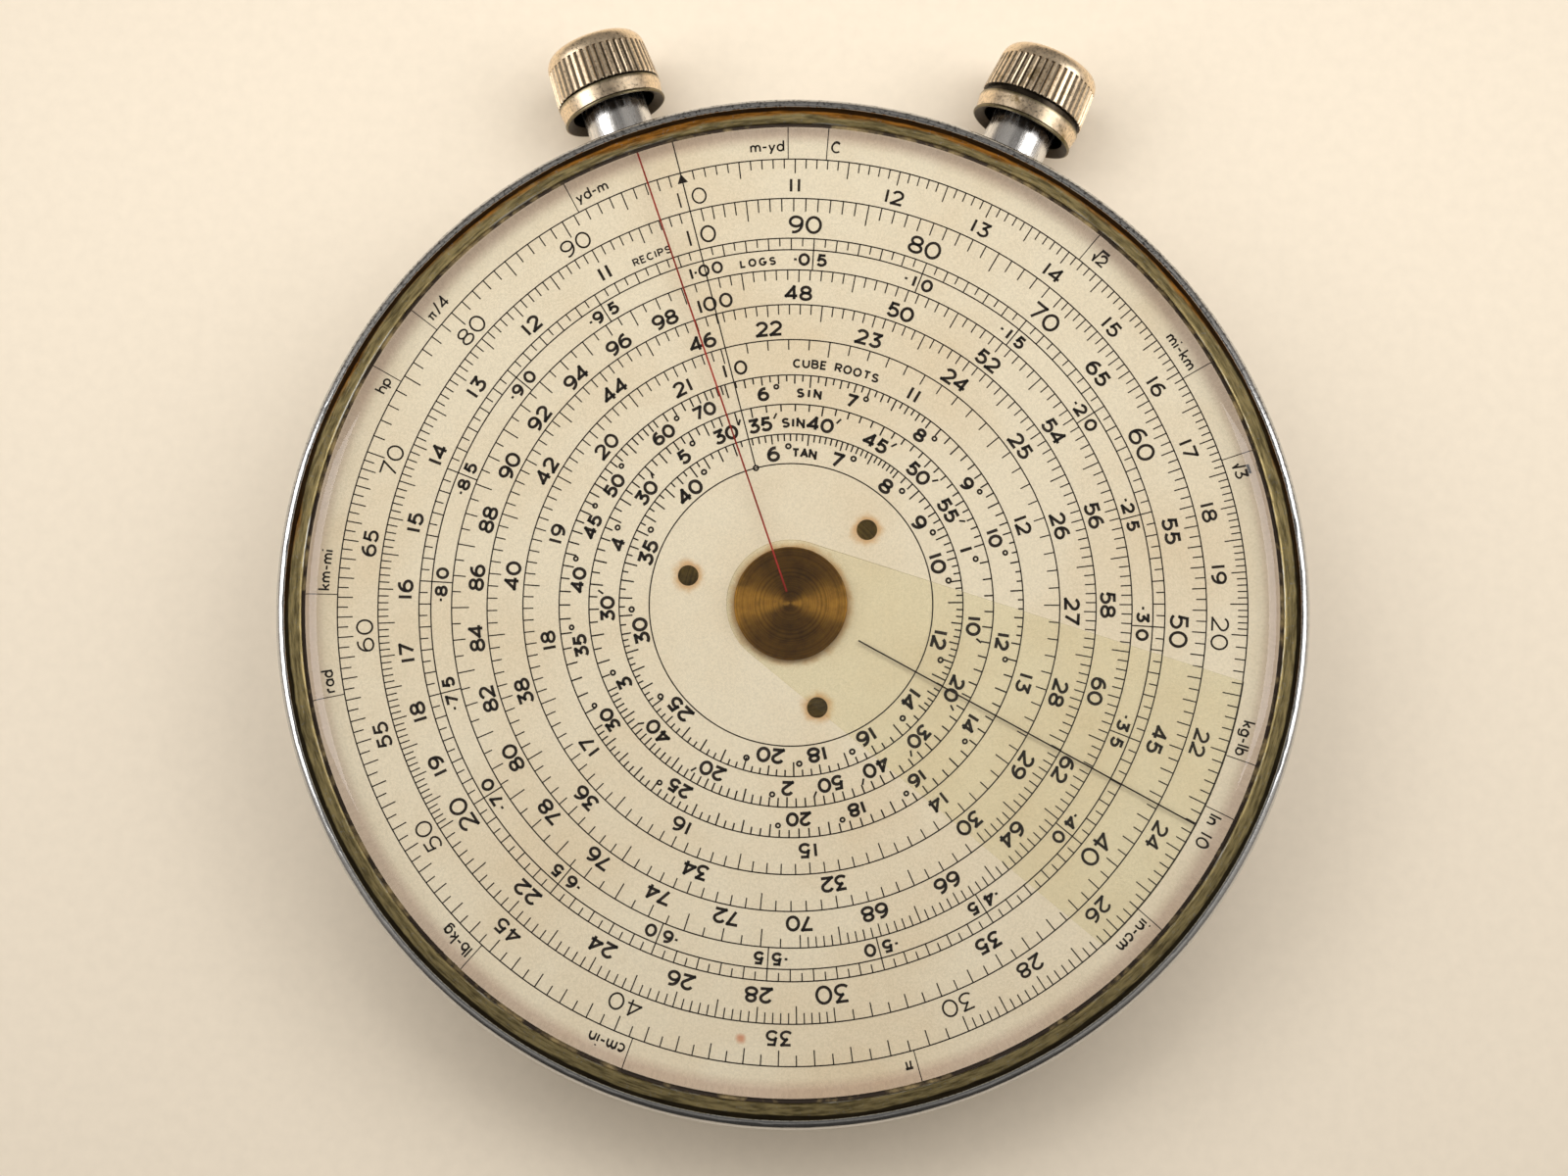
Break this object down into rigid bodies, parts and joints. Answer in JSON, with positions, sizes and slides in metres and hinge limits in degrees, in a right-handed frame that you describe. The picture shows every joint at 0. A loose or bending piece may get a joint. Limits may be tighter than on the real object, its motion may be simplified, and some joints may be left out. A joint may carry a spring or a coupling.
{
  "type": "circular slide rule",
  "caption": "Round pocket-watch style slide rule: a rotating scale dial and a clear hairline cursor under a crystal, each turned by its own fluted knob on the rim through a face gear.",
  "frame": {"origin": "centre of the flat back face", "axes": "+Z out through the crystal, +Y midway between the two knobs, +X to the right as the dial is read"},
  "size_m": [0.0864, 0.0944, 0.0142],
  "materials": {
    "plated_case": "polished plating with fine scratches",
    "plated_bezel": "plating worn to brown brass on the inner band",
    "crystal": "clear, rounded shoulder",
    "seat_ring": "dark fibre",
    "brass": "turned",
    "steel": "turned",
    "plated_tube": "polished plating, scratched",
    "dial_enamel": "matt ivory lacquer with black print",
    "bronzed_rivet": "tarnished",
    "celluloid": "clear, slightly yellowed",
    "dark_brass": "tarnished, turned",
    "nickel_knob": "dull nickel, worn and dirty in the flutes"
  },
  "bodies": {
    "case": {"case_body": "plated_case", "bezel": "plated_bezel", "crystal": "crystal", "crystal_seat_ring": "seat_ring", "foot_bush": "brass", "bridge": "brass", "bridge_pillars": "brass", "bridge_screws": "steel", "dial_stem_tube": "plated_tube", "cursor_stem_tube": "plated_tube"},
    "dial_set": {"dial": "dial_enamel", "dial_rivets": "bronzed_rivet", "dial_pipe": "brass", "dial_wheel": "brass", "dial_washer": "seat_ring"},
    "cursor_set": {"centre_arbor": "steel", "cursor_wheel": "brass", "wheel_collet": "brass", "cursor": "celluloid", "hub_cap": "dark_brass"},
    "dial_knob_set": {"dial_stem": "steel", "dial_pinion": "brass", "dial_stem_spring": "steel", "dial_knob": "nickel_knob"},
    "cursor_knob_set": {"cursor_stem": "steel", "cursor_pinion": "brass", "cursor_stem_spring": "steel", "cursor_knob": "nickel_knob"}
  },
  "joints": [
    {"name": "dial_spin", "type": "hinge", "parent": "case", "child": "dial_set", "pos_m": [0, 0, 0.0119], "axis": [0, 0, 1], "continuous": true},
    {"name": "cursor_spin", "type": "hinge", "parent": "case", "child": "cursor_set", "pos_m": [0, 0, 0.01205], "axis": [0, 0, 1], "continuous": true},
    {"name": "dial_knob_spin", "type": "hinge", "parent": "case", "child": "dial_knob_set", "pos_m": [-0.01806, 0.04361, 0.00602], "axis": [-0.3827, 0.9239, 0], "continuous": true},
    {"name": "cursor_knob_spin", "type": "hinge", "parent": "case", "child": "cursor_knob_set", "pos_m": [0.01806, 0.04361, 0.00602], "axis": [0.3827, 0.9239, 0], "continuous": true}
  ],
  "couplings": [
    {"joint": "dial_knob_spin", "follows": "dial_spin", "ratio": -7},
    {"joint": "cursor_knob_spin", "follows": "cursor_spin", "ratio": 6}
  ]
}
